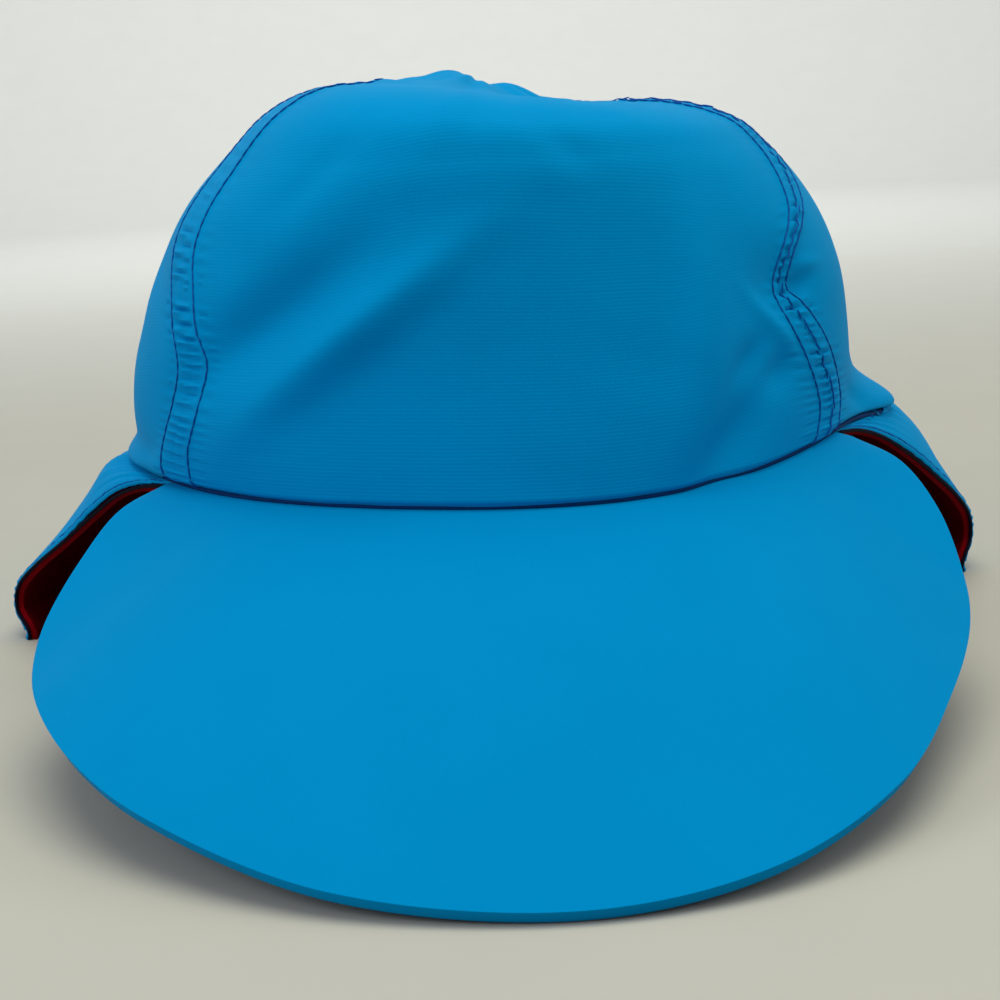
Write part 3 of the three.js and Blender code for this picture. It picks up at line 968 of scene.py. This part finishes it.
class CAP_OT_flap(bpy.types.Operator):
    """Make the flap's outer cloth, its turned hem and the cords of its overcast front edges, painted
    near black as shade in the gap between shell and lining.
    """

    bl_idname = "cap.flap"
    bl_label = "Neck flap"

    def execute(self, context):
        cap = sizes()
        shell = cloth_sheet("flap_cloth", flap_outside, 420, 64, crown_nylon(), ease=0.3)
        thicken(shell, cap.flap_cloth, 0.0004, 2)
        dress("neck_flap")

        def fold(across, along):
            return under_flap(cap.flap_cloth)(mix(0.05, 0.95, across), mix(HEM_START, 1, along))
        hem = cloth_sheet("flap_hem_fold", fold, 300, 8, crown_nylon(), ease=0.3)
        thicken(hem, 0.0021, 0.0006, 2)
        # The overcast edge is painted near black: a real edge cord, with painted shade of the gap
        # between shell and lining.
        edging_and_gap_shade = material_once("overcast edge", twisted_thread, tuple(finish().edging_and_gap_shade_colour))
        along = np.linspace(0.02, 0.995, 120)
        inside = under_flap(cap.flap_cloth + 0.00015)
        for name, across in (("flap_edging_and_gap_shade_left", 0.0), ("flap_edging_and_gap_shade_right", 1.0)):
            tube(name, inside(np.full_like(along, across), along), 0.0005, edging_and_gap_shade)
        return {"FINISHED"}


class CAP_OT_lining(bpy.types.Operator):
    """Make the fleece lining on the inside of the flap."""

    bl_idname = "cap.lining"
    bl_label = "Flap lining"

    def execute(self, context):
        cap = sizes()

        def surface(across, along):
            depth = cap.flap_cloth + 0.0004
            across = mix(0.0008, 0.9992, across)
            side = np.minimum(across, 1 - across)
            end = mix(0.992, LINING_END, smooth_step(side, 0.03, 0.06))
            start = 0.02 + 0.2 * bell(across - 0.925, 0.045)
            return under_flap(depth)(across, mix(start, end, along))
        fleece_cloth = material_once("maroon fleece", fleece, tuple(finish().lining_colour))
        piece = cloth_sheet("flap_lining_cloth", surface, 300, 50, fleece_cloth, ease=0.3)
        thicken(piece, cap.lining_cloth, 0.0007, 3)
        dress("neck_flap_lining")
        return {"FINISHED"}


class CAP_OT_stitches(bpy.types.Operator):
    """Make the topstitching of the crown's seams and of the flap's edges."""

    bl_idname = "cap.stitches"
    bl_label = "Stitches"

    def execute(self, context):
        bm = bmesh.new()
        at = np.linspace(0.004, 0.955, 500)
        for seam, _, _ in CROWN_SEAMS:
            offsets = [-seam_reach(seam, at), seam_reach(seam, at)]
            if seam is right_seam:
                offsets.append(np.full_like(at, -0.0003))
            for offset in offsets:
                centre = seam(at)
                plain = crown_surface(centre, at)
                radius = np.hypot(plain[:, 0], plain[:, 1])
                angle = centre + np.degrees(offset / np.maximum(radius, 0.01))
                normals = normals_of(crown_surface, angle, at, TURN_STEP, PLACE_STEP)
                raised = 0.0004 if seam is right_seam and abs(offset[0]) < 0.001 else 0
                stitch_row(bm, crown_cloth(angle, at) + normals * raised, normals)
        finished(bm, "crown_stitches", thread_material())
        bm = bmesh.new()
        along = np.linspace(0.03, 0.94, 300)
        for across in (EDGE_STITCH_SHARE, 1 - EDGE_STITCH_SHARE):
            line = np.full_like(along, across)
            normals = normals_of(flap_surface, line, along, PLACE_STEP, PLACE_STEP)
            stitch_row(bm, flap_outside(line, along), normals)
        across = np.linspace(0.006, 0.994, 900)
        line = np.full_like(across, HEM_STITCH_PLACE)
        normals = normals_of(flap_surface, across, line, PLACE_STEP, PLACE_STEP)
        stitch_row(bm, flap_outside(across, line), normals)
        finished(bm, "flap_stitches", thread_material())
        return {"FINISHED"}


def area_light(name, place, target, size, power, colour):
    light = bpy.data.lights.new(name, "AREA")
    light.shape = "DISK"
    light.size = size
    light.energy = power
    light.color = colour
    lamp = bpy.data.objects.new(name, light)
    lamp.location = place
    lamp.rotation_euler = (Vector(target) - Vector(place)).to_track_quat("-Z", "Y").to_euler()
    bpy.context.scene.collection.objects.link(lamp)


class CAP_OT_stage(bpy.types.Operator):
    """Make the pale floor, the soft lights and the camera."""

    bl_idname = "cap.stage"
    bl_label = "Stage"

    def execute(self, context):
        bm = bmesh.new()
        bottom = [bm.verts.new((0, 0, 0)), bm.verts.new((FLOOR_FLAT, 0, 0))]
        for step in range(1, 9):
            turn = math.radians(90 * step / 8)
            out = FLOOR_FLAT + FLOOR_CURVE * math.sin(turn)
            bottom.append(bm.verts.new((out, 0, FLOOR_CURVE - FLOOR_CURVE * math.cos(turn))))
        bottom.append(bm.verts.new((FLOOR_FLAT + FLOOR_CURVE, 0, WALL_TOP)))
        edges = [bm.edges.new(pair) for pair in zip(bottom, bottom[1:])]
        bmesh.ops.spin(bm, geom=bottom + edges, cent=(0, 0, 0), axis=(0, 0, 1), dvec=(0, 0, 0),
                       angle=2 * math.pi, steps=64, use_merge=True)
        bmesh.ops.remove_doubles(bm, verts=bm.verts, dist=1e-5)
        bmesh.ops.recalc_face_normals(bm, faces=bm.faces)
        bmesh.ops.reverse_faces(bm, faces=bm.faces)
        pale = plain_floor("pale floor", tuple(finish().floor_colour))
        mesh_object(bm, "floor", pale)

        world = bpy.data.worlds.new("studio")
        world.use_nodes = True
        background = world.node_tree.nodes["Background"]
        background.inputs["Color"].default_value = (0.88, 0.93, 1.0, 1)
        background.inputs["Strength"].default_value = 0.52
        context.scene.world = world
        context.scene.view_settings.view_transform = "Standard"
        for light in LIGHTS:
            area_light(*light)

        azimuth = math.radians(CAMERA_AZIMUTH)
        elevation = math.radians(CAMERA_ELEVATION)
        roll = math.radians(CAMERA_ROLL)
        back = Vector((math.sin(azimuth) * math.cos(elevation),
                       -math.cos(azimuth) * math.cos(elevation), math.sin(elevation)))
        right = Vector((math.cos(azimuth), math.sin(azimuth), 0))
        upward = back.cross(right)
        level_right = right * math.cos(roll) + upward * math.sin(roll)
        level_up = upward * math.cos(roll) - right * math.sin(roll)
        data = bpy.data.cameras.new("camera")
        data.lens = CAMERA_LENS
        data.sensor_width = 36
        data.clip_start = 0.01
        camera = bpy.data.objects.new("camera", data)
        eye = CROWN_CENTRE + CAMERA_AIM + back * CAMERA_DISTANCE
        turn = Matrix((level_right, level_up, back)).transposed().to_4x4()
        camera.matrix_world = Matrix.Translation(eye) @ turn
        context.scene.collection.objects.link(camera)
        context.scene.camera = camera
        return {"FINISHED"}


class CAP_PT_sidebar(bpy.types.Panel):
    """Lists the operators that make the cap."""

    bl_label = "Sun cap"
    bl_idname = "CAP_PT_sidebar"
    bl_space_type = "VIEW_3D"
    bl_region_type = "UI"
    bl_category = "Sun Cap"

    def draw(self, context):
        column = self.layout.column()
        for group in (sizes(), finish()):
            for name in group.__annotations__:
                column.prop(group, name)
        for operator in OPERATORS:
            column.operator(operator.bl_idname)


OPERATORS = (CAP_OT_crown, CAP_OT_binding, CAP_OT_peak, CAP_OT_flap, CAP_OT_lining,
             CAP_OT_stitches, CAP_OT_stage)
CLASSES = (CapSizes, CapFinish, *OPERATORS, CAP_PT_sidebar)


def register():
    for item in CLASSES:
        bpy.utils.register_class(item)
    bpy.types.Scene.cap_sizes = PointerProperty(type=CapSizes)
    bpy.types.Scene.cap_finish = PointerProperty(type=CapFinish)


def unregister():
    del bpy.types.Scene.cap_finish
    del bpy.types.Scene.cap_sizes
    for item in reversed(CLASSES):
        bpy.utils.unregister_class(item)


def main():
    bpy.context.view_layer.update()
    register()
    bpy.ops.cap.crown()
    bpy.ops.cap.binding()
    bpy.ops.cap.peak()
    bpy.ops.cap.flap()
    bpy.ops.cap.lining()
    bpy.ops.cap.stitches()
    bpy.ops.cap.stage()


if __name__ == "__main__":
    main()
